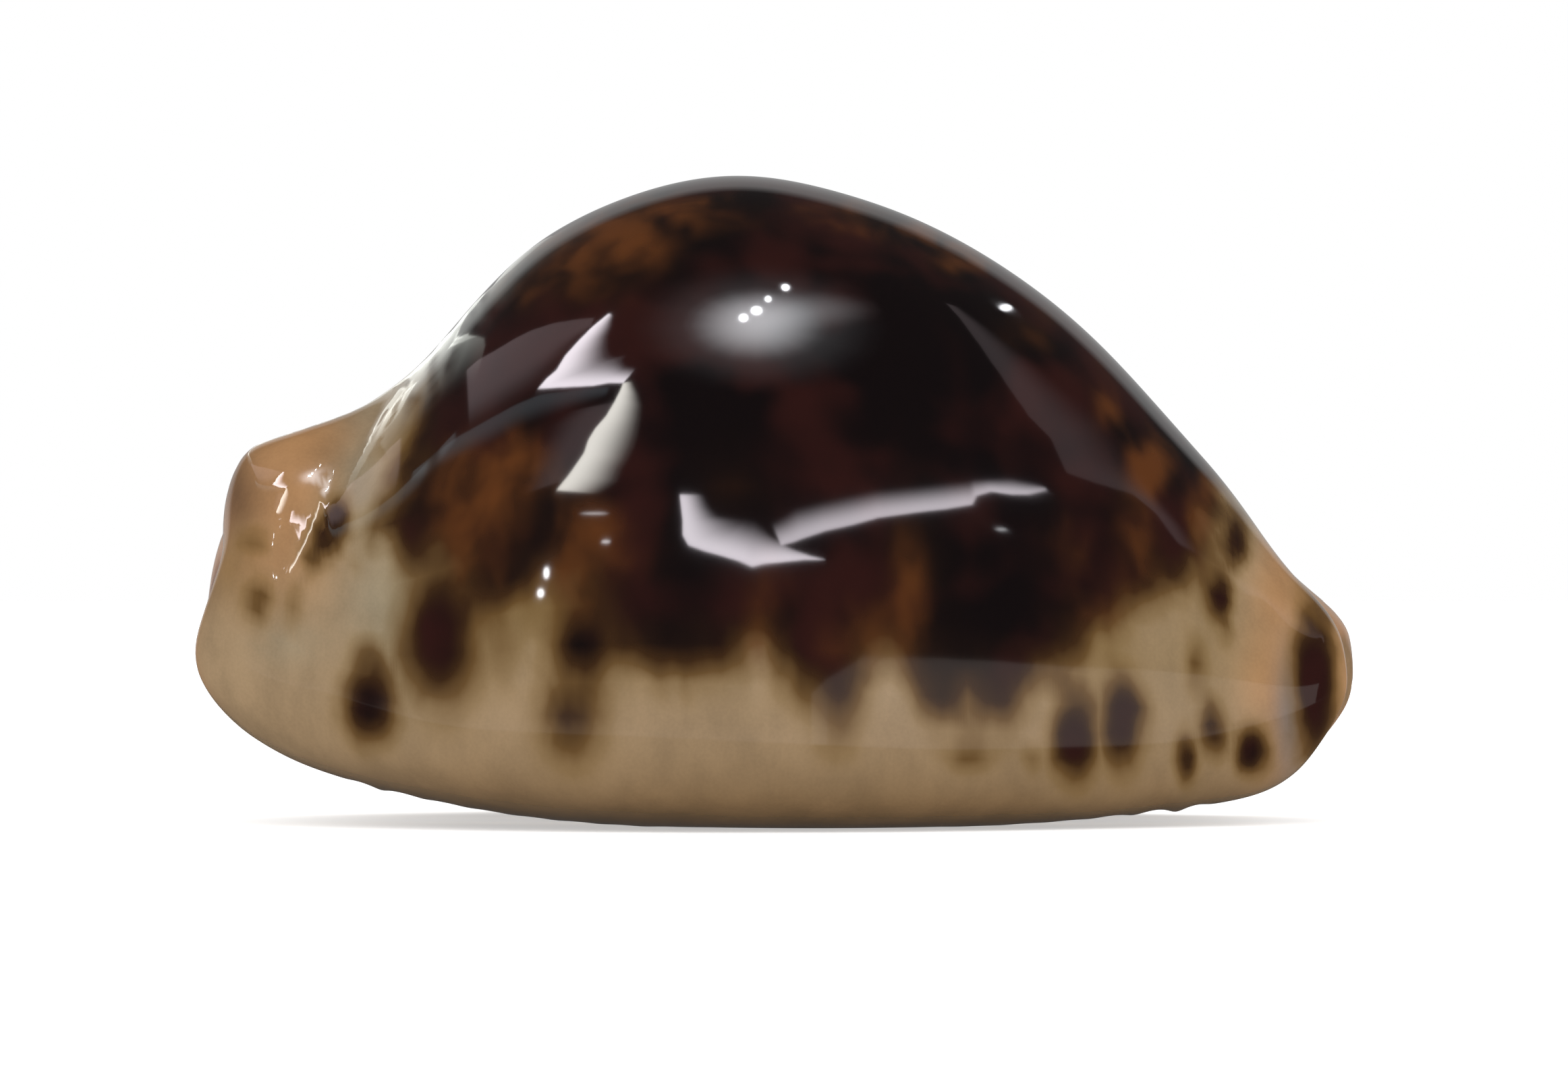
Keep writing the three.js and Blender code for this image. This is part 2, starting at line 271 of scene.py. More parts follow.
# Spots on the outer lip's side: middle x and z, half width and half height, and depth of colour.
OUTER_SPOTS = [
    (-28.2, 7.9, 1.5, 2.0, 1.0),
    (-28.3, 10.4, 1.1, 1.6, 0.62),
    (-23.4, 13.0, 2.1, 3.7, 1.0),
    (-25.2, 19.2, 1.2, 1.6, 0.7),
    (-19.4, 11.2, 1.7, 1.4, 0.34),
    (-13.6, 12.2, 1.8, 2.6, 1.0),
    (-14.4, 7.7, 1.9, 2.9, 0.72),
    (4.1, 7.8, 1.4, 2.1, 0.6),
    (4.0, 5.2, 1.3, 0.9, 0.42),
    (11.2, 9.3, 1.3, 2.1, 0.72),
    (15.1, 9.2, 1.5, 2.4, 0.78),
    (13.4, 4.9, 1.7, 1.2, 0.56),
    (17.4, 4.6, 0.9, 1.1, 0.3),
    (20.5, 6.1, 1.3, 2.4, 0.98),
    (23.7, 7.1, 1.25, 2.7, 0.98),
    (28.2, 4.0, 0.7, 1.4, 0.75),
    (29.9, 6.4, 0.85, 1.6, 0.75),
    (28.8, 10.5, 0.75, 1.8, 0.5),
    (32.6, 4.8, 0.9, 1.35, 0.95),
    (30.4, 15.3, 0.8, 1.5, 0.9),
    (30.7, 13.2, 0.7, 1.2, 0.42),
    (31.5, 19.4, 0.75, 1.5, 0.85),
    (-36.0, 15.1, 0.9, 1.3, 0.56),
    (-33.6, 14.8, 0.75, 1.4, 0.42),
    (-36.3, 19.1, 0.9, 0.9, 0.34),
    (-30.6, 20.6, 0.7, 1.2, 0.85),
    (-31.3, 19.3, 0.75, 1.2, 0.78),
    (-32.1, 18.1, 0.7, 1.1, 0.56),
    (36.9, 9.6, 1.15, 4.4, 1.0),
    (36.6, 13.2, 0.9, 1.9, 0.7),
]

# Where amber shows through the dark cover: middle x and z, half width and half height, strength.
AMBER_PATCHES = [
    (-20.4, 22.4, 2.8, 3.6, 1.0),
    (-18.4, 24.8, 2.6, 1.8, 0.85),
    (-20.8, 18.9, 2.4, 2.2, 0.8),
    (-13.2, 18.6, 2.6, 2.8, 0.9),
    (-17.4, 36.8, 2.6, 1.6, 0.5),
    (-14.2, 38.9, 3.0, 1.6, 0.75),
    (-10.8, 40.2, 2.8, 1.7, 0.95),
    (-7, 42.2, 3.6, 1.0, 0.8),
    (-12.6, 36.4, 2.2, 1.4, 0.45),
    (4.2, 41.6, 2.6, 0.8, 0.75),
    (9.6, 40.7, 2.4, 0.7, 0.7),
    (13, 38.9, 2.2, 0.9, 0.75),
    (17.4, 34.4, 1.6, 1.2, 0.4),
    (25.8, 24.7, 1.1, 1.8, 1.0),
    (22.4, 29, 1.1, 1.9, 0.7),
    (19.8, 18.9, 1.2, 1.6, 0.5),
    (24.6, 19.2, 1.7, 4.2, 0.55),
    (8.9, 15.4, 1.3, 4.6, 0.75),
    (6.2, 12.8, 2.9, 1.7, 0.7),
    (-0.9, 13.4, 1.2, 3.6, 0.7),
    (-3.3, 22.9, 2.6, 1.9, 0.2),
    (22.4, 13.8, 2.2, 1.6, 0.5),
    (29.3, 21, 0.9, 2.6, 0.8),
]

# Ground tints and painted reflections: middle x and z, half width and half height, colour and
# strength.
TINTS_AND_PAINTED_SHEENS = [
    (-26.6, 14.6, 3.0, 5.2, SAGE_AND_PAINTED_SHEEN, 0.8),
    (-34, 12.4, 2.2, 1.6, SAGE_AND_PAINTED_SHEEN, 0.45),
    (-25.6, 25.2, 1.1, 5.2, OLIVE, 0.75),
    # Painted reflection: the pale sheen in the furrow by the spire end.
    (-28.6, 24.4, 1.7, 4.6, SAGE_AND_PAINTED_SHEEN, 0.55),
    (-38.6, 21.8, 3.0, 4.4, SMOKE, 1.0),
    (24.5, 9.6, 6.5, 3.6, OLIVE, 0.3),
    (-38, 17.6, 1.5, 2.4, OLIVE, 0.7),
    (-34.4, 26.6, 5.2, 1.7, CLAY, 0.8),
    (-35, 18.4, 3.2, 3.6, PEACH, 0.45),
    (29.6, 12.6, 3.2, 4.4, OLIVE, 0.4),
    (31.8, 21.6, 1.4, 3.2, SAGE_AND_PAINTED_SHEEN, 0.6),
    (33.6, 9.4, 2.0, 3.6, CLAY, 0.6),
    (35.4, 15.4, 1.9, 1.8, CLAY, 0.8),
    # Painted reflection: the grey sheen along the curved outer lip at the siphon end.
    (35.3, 7.2, 1.1, 4.6, PAINTED_SLATE_REFLECTION, 0.95),
    (-16.4, 14.4, 4.6, 3.0, OLIVE, 0.75),
    (-23.2, 12.6, 3.6, 5.0, OLIVE, 0.3),
    (22.6, 12.4, 3.0, 2.4, OLIVE, 0.5),
]

# Spots and amber patches on the inner lip's side, drawn at random: two rows of spots from the spire
# end on, the cover's lower edge over them, and patches of amber above that edge.
INNER_SPOTS_START = -30
INNER_SPOT_STEP = 4.1
INNER_SPOT_COUNT = 16
INNER_SPOT_WIDTH = (1.0, 1.9)
INNER_SPOT_TALLER = (1.2, 1.8)
UPPER_SPOT_TALLER = 1.4
FROM_MIDDLE = [0, 20, 32]
SPOT_HEIGHTS = [6.2, 6.2, 5.2]
EDGE_FROM_MIDDLE = [0, 22, 32]
EDGE_HEIGHTS = [12.6, 14.2, 19]
EDGE_WANDER = 2.2
EDGE_SPIRE_END = (-33, 20)
EDGE_SIPHON_END = (33.5, 30)
INNER_AMBER_START = -22
INNER_AMBER_STEP = 4
INNER_AMBER_COUNT = 14
INNER_AMBER_HEIGHTS = (14, 38)
INNER_AMBER_SIZE = (1.4, 3.2)
INNER_AMBER_TALLER = 1.3
draw = random.Random(12)
inner_spots = []
inner_foot = [EDGE_SPIRE_END]
for i in range(INNER_SPOT_COUNT):
    middle_x = INNER_SPOTS_START + i * INNER_SPOT_STEP + draw.uniform(-0.9, 0.9)
    low = np.interp(abs(middle_x), FROM_MIDDLE, SPOT_HEIGHTS) + draw.uniform(-1, 1.6)
    width = draw.uniform(*INNER_SPOT_WIDTH)
    height = width * draw.uniform(*INNER_SPOT_TALLER)
    inner_spots.append((middle_x, low, width, height, draw.uniform(0.6, 1)))
    upper_x = middle_x + draw.uniform(-1.6, 1.6)
    upper_low = low + draw.uniform(4, 6)
    upper_height = width * UPPER_SPOT_TALLER
    inner_spots.append((upper_x, upper_low, width, upper_height, draw.uniform(0.7, 1)))
    edge_height = np.interp(abs(middle_x), EDGE_FROM_MIDDLE, EDGE_HEIGHTS)
    edge_height += draw.uniform(-EDGE_WANDER, EDGE_WANDER)
    inner_foot.append((middle_x, edge_height))
inner_foot.append(EDGE_SIPHON_END)
inner_amber = []
for i in range(INNER_AMBER_COUNT):
    patch_x = INNER_AMBER_START + i * INNER_AMBER_STEP + draw.uniform(-2, 2)
    patch_z = draw.uniform(*INNER_AMBER_HEIGHTS)
    patch_size = draw.uniform(*INNER_AMBER_SIZE)
    patch_height = patch_size * INNER_AMBER_TALLER
    inner_amber.append((patch_x, patch_z, patch_size, patch_height, draw.uniform(0.5, 1)))


def brushed(x, z, marks):
    """The strongest of the marks at each point: full in a mark's middle, with a soft edge."""
    strongest = np.zeros_like(x)
    for middle_x, middle_z, half_width, half_height, depth in marks:
        reach = np.hypot((x - middle_x) / half_width, (z - middle_z) / half_height) / MARK_SPREAD
        strongest = np.maximum(strongest, depth * np.exp(-(reach**MARK_STEEPNESS)))
    return strongest


def blended(low, high, amount):
    return low + (np.array(high) - low) * amount[:, None]


def beyond_line(x, z, line, is_beyond):
    """Distance from a line of points, positive on the side where is_beyond holds."""
    nearest = np.full_like(x, np.inf)
    for start, end in zip(line, line[1:]):
        nearest = np.minimum(nearest, distance_to_line(x, z, start, end)[0])
    return np.where(is_beyond, nearest, -nearest)


def over(x, z, line):
    line_x, line_z = np.array(line).T
    return beyond_line(x, z, line, z > np.interp(x, line_x, line_z))


def right_of(x, z, line):
    line_x, line_z = np.array(line).T
    return beyond_line(x, z, line, x > np.interp(z, line_z, line_x))


# The same point of the side view takes in points nearer the eye that lie a little further out.
x, y, z = points.T
nearness = SEEN_FROM / (SEEN_FROM + np.minimum(y, 0))
side_x = x * nearness
side_z = SEEN_HEIGHT + (z - SEEN_HEIGHT) * nearness
wander = uneven(points, 2.6, 3) + 0.6 * uneven(points, 1.2, 4)
drift = uneven(points, 5, 5)
far_side = step_up(y, -3, 3)
near_side = 1 - far_side

# The cover, the spots and the amber, each with an outline that wanders a little.
foot = over(side_x, side_z, COVER_FOOT) * near_side + over(x, z, inner_foot) * far_side
side = right_of(side_x, side_z, COVER_SIDE)
cover = step_up(np.minimum(foot, side) + 0.6 * wander, *COVER_SOFT_EDGE)
spots_outer = brushed(side_x + 0.3 * wander, side_z + 0.4 * drift, OUTER_SPOTS)
spots_inner = brushed(x + 0.5 * wander, z + 0.5 * drift, inner_spots)
spots = np.maximum(spots_outer * near_side, spots_inner * far_side)
pigment = 1 - (1 - cover) * (1 - spots)
amber_x = side_x + 0.9 * drift
amber_z = side_z + 0.9 * wander
amber = brushed(amber_x, amber_z, AMBER_PATCHES) * near_side
amber = np.maximum(amber, brushed(amber_x, amber_z, inner_amber) * far_side)

# The canals' rims stay pale, and no pigment lies on the inside.
at_end = step_up(np.abs(x), *CANALS_START)
rim = bell(facing_out - RIM_FACING, RIM_WIDTH) * at_end
pigment = pigment * outside * (1 - RIM_PALENESS * rim)

# The ground: cream on the middle of the flanks, peach at both ends, fawn with painted shade towards
# the base, white on the teeth, and pearly inside.
ground = np.tile(np.array(TAN), (len(points), 1))
ground = blended(ground, CREAM, 0.8 * step_up(z, 6, 15) * bell(x, 24))
ground = blended(ground, PEACH, 0.7 * step_up(x, 30, 35))
ground = blended(ground, PEACH, 0.7 * step_up(-x, 28, 33) * step_up(z, 13, 24))
# Darker towards the base: the fawn of the base with painted shade over it, strongest at the foot.
ground = blended(ground, FAWN_AND_PAINTED_SHADE, 0.3 * (1 - step_up(z, 3, 11)))
ground = blended(ground, FAWN_AND_PAINTED_SHADE, 1 - step_up(z, -1, 6))
# Tints of the ground, with the furrow's sheen and the grey sheen at the siphon end laid in as
# painted reflections.
for middle_x, middle_z, half_width, half_height, tint_and_sheen, strength in TINTS_AND_PAINTED_SHEENS:
    reach = np.hypot((side_x - middle_x) / half_width, (side_z - middle_z) / half_height)
    ground = blended(ground, tint_and_sheen, strength * bell(reach, 1))
toothed = bell(np.maximum(from_lip, 0), 3.4) * (1 - step_up(z, 6, 9))
ground = blended(ground, TOOTH_WHITE, toothed * 0.8)
ground = blended(ground, PEARL, (1 - outside) * step_up(from_lip, 0.5, 3))
inside_end = (1 - outside) * at_end
ground = blended(ground, LILAC, inside_end * (x < 0))
ground = blended(ground, FAR_LIP, inside_end * (x > 0))
ground = blended(ground, RIM_LINE, rim * 0.8)

shell.data.attributes.new("pigment", "FLOAT", "POINT").data.foreach_set("value", pigment)
shell.data.attributes.new("amber", "FLOAT", "POINT").data.foreach_set("value", amber)
# The ground colour includes the painted shade at the base and the two painted reflections.
ground_attribute = shell.data.attributes.new("ground", "FLOAT_COLOR", "POINT")
ground_with_alpha = np.concatenate([ground, np.ones((len(ground), 1))], axis=1)
ground_attribute.data.foreach_set("color", ground_with_alpha.ravel())


# The shell's glaze: enamel of aragonite with the pigment sealed under its polished, wet-looking
# surface. The pigment lies in layers, so thin colour looks golden, thicker colour chestnut and the
# thickest nearly black, with faint streaks that run down the flanks.
PIGMENT_STEPS = [
    (0.0, (0.33, 0.225, 0.125, 0)),
    (0.2, (0.175, 0.105, 0.036, 0.42)),
    (0.45, (0.092, 0.046, 0.012, 0.9)),
    (0.68, (0.036, 0.016, 0.0055, 1)),
    (0.88, (0.011, 0.0048, 0.003, 1)),
    (1.0, (0.0035, 0.0018, 0.002, 1)),
]
MAROON = (0.022, 0.0055, 0.0045, 1)
AMBER = (0.092, 0.029, 0.0075, 1)
AMBER_THINNING = 0.2
GLAZE_ROUGHNESS = 0.05
GLAZE_IOR = 1.55

# Most of a noise lies between these two values.
NOISE_SPAN = (0.3, 0.7)

glaze = bpy.data.materials.new("glazed_shell")
glaze.use_nodes = True
shell.data.materials.append(glaze)
nodes = glaze.node_tree.nodes
links = glaze.node_tree.links
enamel = nodes["Principled BSDF"]
enamel.inputs["Roughness"].default_value = GLAZE_ROUGHNESS
enamel.inputs["IOR"].default_value = GLAZE_IOR


def add(kind, **settings):
    node = nodes.new(kind)
    for name, value in settings.items():
        setattr(node, name, value)
    return node


def noise_at(stretch, size, detail, roughness=0.5, distortion=0.0):
    """Noise on the shell's own millimetres, drawn out along an axis whose stretch is below 1."""
    place = add("ShaderNodeMapping")
    place.inputs["Scale"].default_value = [scale / MM / size for scale in stretch]
    links.new(object_place.outputs["Object"], place.inputs["Vector"])
    texture = add("ShaderNodeTexNoise")
    texture.inputs["Scale"].default_value = 1
    texture.inputs["Detail"].default_value = detail
    texture.inputs["Roughness"].default_value = roughness
    texture.inputs["Distortion"].default_value = distortion
    links.new(place.outputs["Vector"], texture.inputs["Vector"])
    return texture.outputs["Fac"]


def math_of(operation, first, second, clamp=False):
    node = add("ShaderNodeMath", operation=operation, use_clamp=clamp)
    for socket, value in zip(node.inputs, (first, second)):
        if isinstance(value, (int, float)):
            socket.default_value = value
        else:
            links.new(value, socket)
    return node.outputs["Value"]


def ranged(value, low, high, to_low, to_high):
    node = add("ShaderNodeMapRange", interpolation_type="SMOOTHSTEP")
    links.new(value, node.inputs["Value"])
    node.inputs["From Min"].default_value = low
    node.inputs["From Max"].default_value = high
    node.inputs["To Min"].default_value = to_low
    node.inputs["To Max"].default_value = to_high
    return node.outputs["Result"]


def mixed(share, first, second):
    """The first colour turning into the second one. Inputs 6 and 7 are the node's two colours."""
    node = add("ShaderNodeMix", data_type="RGBA")
    sockets = (node.inputs[0], node.inputs[6], node.inputs[7])
    for socket, value in zip(sockets, (share, first, second)):
        if isinstance(value, (int, float, tuple)):
            socket.default_value = value
        else:
            links.new(value, socket)
    return node.outputs[2]


object_place = add("ShaderNodeTexCoord")
pigment_depth = add("ShaderNodeAttribute", attribute_name="pigment").outputs["Fac"]
amber_depth = add("ShaderNodeAttribute", attribute_name="amber").outputs["Fac"]
# The ground colour carries painted shade towards the base and two painted reflections.
ground_colour = add("ShaderNodeAttribute", attribute_name="ground").outputs["Color"]

clouds = noise_at((1, 1, 0.8), 6, 3, 0.55, 0.3)
deep_clouds = noise_at((1, 1, 0.9), 8, 2, 0.5, 0.2)
streaks = noise_at((1, 1, 0.3), 1.6, 3, 0.5, 0.2)
grain = noise_at((1, 1, 1), 0.22, 2)
faint_clouds = noise_at((1, 1, 0.6), 4, 4, 0.55)

# The ground: cloudy, with faint streaks and grain.
ground_light = ranged(faint_clouds, *NOISE_SPAN, 0.88, 1.1)
ground_light = math_of("ADD", ground_light, ranged(streaks, *NOISE_SPAN, -0.015, 0.015))
ground_light = math_of("ADD", ground_light, ranged(grain, *NOISE_SPAN, -0.03, 0.03))
ground_shaded = add("ShaderNodeVectorMath", operation="SCALE")
links.new(ground_colour, ground_shaded.inputs[0])
links.new(ground_light, ground_shaded.inputs["Scale"])

# The pigment's depth: thinner where amber shows, and uneven most where it is half deep.
amber_noise = noise_at((1, 1, 0.7), 3.6, 2, 0.45, 0.3)
amber_streaks = ranged(amber_noise, *NOISE_SPAN, 0.55, 1.3)
thinning = math_of("MULTIPLY", math_of("MULTIPLY", amber_depth, amber_streaks), AMBER_THINNING)
thinned = math_of("SUBTRACT", pigment_depth, math_of("MULTIPLY", thinning, pigment_depth), True)
half_deep = math_of("MULTIPLY", thinned, math_of("SUBTRACT", 1, thinned))
streak_change = ranged(streaks, *NOISE_SPAN, -0.05, 0.05)
cloud_change = ranged(clouds, *NOISE_SPAN, -0.34, 0.34)
unevenness = math_of("ADD", streak_change, cloud_change)
depth = math_of("ADD", thinned, math_of("MULTIPLY", unevenness, half_deep), True)
ramp = add("ShaderNodeValToRGB")
ramp.color_ramp.interpolation = "LINEAR"
for place, colour in PIGMENT_STEPS[2:]:
    ramp.color_ramp.elements.new(place)
for element, (place, colour) in zip(ramp.color_ramp.elements, PIGMENT_STEPS):
    element.position = place
    element.color = colour
links.new(depth, ramp.inputs["Fac"])

# The deep cover's inner life is a maroon cloudiness, with amber where the cover is thin.
maroon_clouds = ranged(deep_clouds, 0.4, 0.65, 0, 0.9)
maroon_share = math_of("MULTIPLY", maroon_clouds, ranged(depth, 0.6, 0.9, 0, 1))
covered = mixed(maroon_share, ramp.outputs["Color"], MAROON)
amber_share = ranged(math_of("MULTIPLY", amber_depth, amber_streaks), 0.1, 1.15, 0, 0.9)
covered = mixed(amber_share, covered, AMBER)
surface_colour = mixed(ramp.outputs["Alpha"], ground_shaded.outputs["Vector"], covered)
links.new(surface_colour, enamel.inputs["Base Color"])


# The table: one wide sheet of pale plastic, which glows a little of its own so that it looks white.
# The shell stands on it. It carries only the shell's soft shadow, and the glaze doesn't see it.
SHEET_SIZE = 4
SHEET_WHITE = (0.85, 0.85, 0.85, 1)
SHEET_ROUGHNESS = 0.9
SHEET_SHEEN = 0.1
TABLE_GLOW = 0.45
bpy.ops.object.select_all(action="DESELECT")
bpy.ops.mesh.primitive_plane_add(size=SHEET_SIZE)
sheet = bpy.context.object
sheet.name = "pale_sheet"
plastic = bpy.data.materials.new("pale_sheet")
plastic.use_nodes = True
plastic_face = plastic.node_tree.nodes["Principled BSDF"]
plastic_face.inputs["Base Color"].default_value = SHEET_WHITE
plastic_face.inputs["Roughness"].default_value = SHEET_ROUGHNESS
plastic_face.inputs["Specular IOR Level"].default_value = SHEET_SHEEN
plastic_face.inputs["Emission Color"].default_value = (1, 1, 1, 1)
plastic_face.inputs["Emission Strength"].default_value = TABLE_GLOW
sheet.data.materials.append(plastic)
sheet.visible_glossy = False


# The camera looks level from the outer lip's side, from far enough off that the shell keeps its
# plain side outline.
CAMERA_DISTANCE = 0.6
VIEW_WIDTH = 0.10823
VIEW_MIDDLE = (0.0003, 0, 0.01968)
SENSOR_WIDTH = 36
CLEAR_FROM = 0.01
CLEAR_TO = 10
bpy.ops.object.camera_add(location=(VIEW_MIDDLE[0], -CAMERA_DISTANCE, VIEW_MIDDLE[2]))
camera = bpy.context.object
camera.rotation_euler = (math.radians(90), 0, 0)
camera.data.sensor_width = SENSOR_WIDTH
camera.data.lens = SENSOR_WIDTH * CAMERA_DISTANCE / VIEW_WIDTH
camera.data.clip_start = CLEAR_FROM
camera.data.clip_end = CLEAR_TO
bpy.context.scene.camera = camera
bpy.context.scene.view_settings.view_transform = "Standard"


# The room's light: a white surround that fills in softly all round. In the glaze it is seen as a
# dim room, with a pale wall far behind the shell that brightens its outline and stops at the table.
FILL_LIGHT = 1.22
ROOM_IN_GLAZE = 0.045
WALL_IN_GLAZE = 0.4
WALL_STARTS = (0.78, 0.86)
WALL_FOOT = (-0.12, 0.04)
world = bpy.data.worlds.new("studio")
bpy.context.scene.world = world
world.use_nodes = True
room = world.node_tree
surround = room.nodes["Background"]
surround.inputs["Color"].default_value = (1, 1, 1, 1)
ray_kind = room.nodes.new("ShaderNodeLightPath")
direction = room.nodes.new("ShaderNodeTexCoord")
direction_parts = room.nodes.new("ShaderNodeSeparateXYZ")
room.links.new(direction.outputs["Generated"], direction_parts.inputs["Vector"])
wall = room.nodes.new("ShaderNodeMapRange")
wall.inputs["From Min"].default_value = WALL_STARTS[0]
wall.inputs["From Max"].default_value = WALL_STARTS[1]
room.links.new(direction_parts.outputs["Y"], wall.inputs["Value"])
over_table = room.nodes.new("ShaderNodeMapRange")
over_table.inputs["From Min"].default_value = WALL_FOOT[0]
over_table.inputs["From Max"].default_value = WALL_FOOT[1]
over_table.inputs["To Min"].default_value = ROOM_IN_GLAZE
over_table.inputs["To Max"].default_value = WALL_IN_GLAZE
room.links.new(direction_parts.outputs["Z"], over_table.inputs["Value"])
room_or_wall = room.nodes.new("ShaderNodeMix")
room_or_wall.inputs["A"].default_value = ROOM_IN_GLAZE
room.links.new(wall.outputs["Result"], room_or_wall.inputs["Factor"])
room.links.new(over_table.outputs["Result"], room_or_wall.inputs["B"])
fill_or_glaze = room.nodes.new("ShaderNodeMix")
fill_or_glaze.inputs["A"].default_value = FILL_LIGHT
room.links.new(ray_kind.outputs["Is Glossy Ray"], fill_or_glaze.inputs["Factor"])
room.links.new(room_or_wall.outputs["Result"], fill_or_glaze.inputs["B"])
seen_or_not = room.nodes.new("ShaderNodeMix")
seen_or_not.inputs["B"].default_value = 1
room.links.new(ray_kind.outputs["Is Camera Ray"], seen_or_not.inputs["Factor"])
room.links.new(fill_or_glaze.outputs["Result"], seen_or_not.inputs["A"])
room.links.new(seen_or_not.outputs["Result"], surround.inputs["Strength"])


# Light cards: bright and pale boards round the shell, which only its glaze sees. Each is laid out
# from where its picture should lie for the camera above, so from another side it lies elsewhere.
# A card's outline is given as strips of four numbers in millimetres of the side view: x and z at
# its bright edge, then x and z where it has faded out.
CARD_DISTANCE = 0.5
CARD_LOWEST = 0.002
ACROSS_STEPS = 8
JUST_PAST_EDGE = 1.001

WINDOW_UPPER = [
    (-11.8, 35.0, -11.6, 34.9),
    (-12.9, 34.1, -12.0, 34.1),
    (-13.9, 33.1, -12.5, 33.3),
    (-14.8, 32.1, -12.8, 32.5),
    (-15.4, 31.1, -12.9, 31.8),
    (-16.1, 30.5, -12.8, 31.5),
    (-16.7, 29.8, -12.6, 31.4),
    (-14.8, 29.9, -12.0, 31.3),
    (-12.9, 30.0, -11.5, 31.2),
    (-11.8, 30.2, -11.0, 31.0),
    (-10.8, 30.2, -10.2, 30.9),
]
WINDOW_SIDE = [
    (-10.8, 30.2, -10.3, 30.3),
    (-11.0, 29.7, -10.0, 29.5),
    (-11.4, 28.9, -9.9, 28.7),
    (-12.0, 27.9, -10.1, 27.7),
    (-12.7, 27.1, -10.4, 26.7),
    (-13.2, 26.3, -10.7, 25.9),
    (-13.5, 25.4, -11.1, 25.0),
    (-13.9, 24.8, -11.5, 24.4),
    (-14.6, 23.8, -11.9, 23.5),
    (-15.1, 23.2, -12.5, 23.0),
    (-15.4, 22.8, -13.1, 22.6),
]
WINDOW_LOWER_LEFT = [
    (-6.9, 22.5, -5.9, 22.5),
    (-6.8, 21.6, -5.6, 21.6),
    (-6.7, 20.7, -5.2, 20.9),
    (-6.7, 19.7, -4.5, 20.4),
    (-6.3, 19.0, -4.1, 20.1),
    (-5.2, 18.6, -3.6, 19.9),
    (-4.1, 18.3, -3.0, 19.8),
    (-2.8, 17.9, -2.4, 19.6),
    (-1.9, 17.5, -1.8, 19.4),
    (-1.1, 17.7, -1.1, 19.2),
    (0.8, 17.9, -0.1, 19.0),
    (1.7, 18.0, 0.8, 18.7),
    (3.2, 18.0, 2.0, 18.3),
]
WINDOW_LOWER_RIGHT = [
    (0.1, 19.0, -0.4, 20.2),
    (0.9, 19.2, 0.4, 20.6),
    (1.7, 19.5, 1.2, 21.1),
    (3.2, 20.0, 3.0, 21.6),
    (5.0, 20.4, 4.8, 22.0),
    (6.8, 20.9, 6.6, 22.4),
    (9.7, 21.3, 9.5, 22.7),
    (11.5, 21.5, 11.3, 22.9),
    (13.3, 21.8, 13.1, 23.1),
    (13.6, 22.4, 13.4, 23.3),
    (14.6, 22.7, 14.4, 23.4),
    (16.0, 22.5, 16.0, 23.4),
    (17.2, 22.5, 17.2, 23.2),
    (18.4, 22.8, 18.4, 23.0),
]
BOARD_LEFT = [
    (-12.8, 34.7, -13.1, 34.0),
    (-13.9, 34.6, -14.1, 33.1),
    (-15.7, 34.3, -14.9, 32.0),
    (-17.2, 33.8, -16.1, 30.5),
    (-18.2, 33.3, -17.0, 29.6),
    (-19.7, 32.4, -18.2, 28.8),
    (-20.8, 31.8, -19.7, 27.8),
    (-21.6, 31.1, -21.4, 26.9),
]
BOARD_RIGHT = [
    (11.5, 35.7, 12.5, 35.4),
    (12.5, 34.6, 14.6, 33.9),
    (13.6, 33.1, 16.7, 32.3),
    (15.6, 30.2, 19.3, 30.2),
    (17.2, 27.9, 21.1, 28.8),
    (18.7, 26.4, 22.6, 27.5),
    (19.8, 24.0, 23.9, 26.0),
    (21.8, 23.3, 24.9, 24.2),
    (24.4, 22.5, 26.5, 22.1),
    (26.0, 21.2, 28.0, 20.2),
    (27.5, 19.1, 29.1, 18.4),
]
BOARD_FRONT_LEFT = [
    (-29.4, 5.4, -29.4, 10.1),
    (-22.4, 4.3, -22.4, 9.9),
    (-15.6, 3.9, -15.6, 9.4),
    (-12.0, 3.8, -12.0, 9.0),
    (-4.3, 3.2, -4.3, 8.4),
    (2.2, 3.7, 2.2, 8.8),
    (3.3, 3.5, 3.3, 9.8),
]
BOARD_FRONT_RIGHT = [
    (2.2, 8.8, 2.2, 3.7),
    (3.3, 9.8, 3.3, 3.5),
    (5.8, 11.3, 5.8, 3.1),
    (9.9, 11.2, 9.9, 2.9),
    (15.3, 11.0, 15.3, 2.7),
    (20.3, 10.6, 20.3, 2.5),
    (25.4, 10.4, 25.4, 2.3),
    (30.4, 9.9, 30.4, 3.0),
]
BOARD_BLUE = [
    (-11.8, 29.9, -12.0, 29.2),
    (-13.9, 29.7, -13.9, 28.5),
    (-16.5, 29.4, -16.1, 27.7),
    (-18.2, 28.7, -17.8, 27.1),
    (-20.4, 27.5, -19.7, 26.0),
    (-22.5, 26.3, -22.1, 24.9),
    (-24.2, 25.0, -24.2, 23.8),
    (-25.3, 24.1, -25.5, 23.2),
]
BOARD_LOW = [
    (-11.3, 28.9, -14.8, 28.2),
    (-12.1, 27.8, -16.1, 27.2),
    (-13.1, 26.3, -16.7, 25.9),
    (-13.9, 24.8, -17.4, 24.2),
    (-14.8, 23.5, -17.8, 22.5),
]
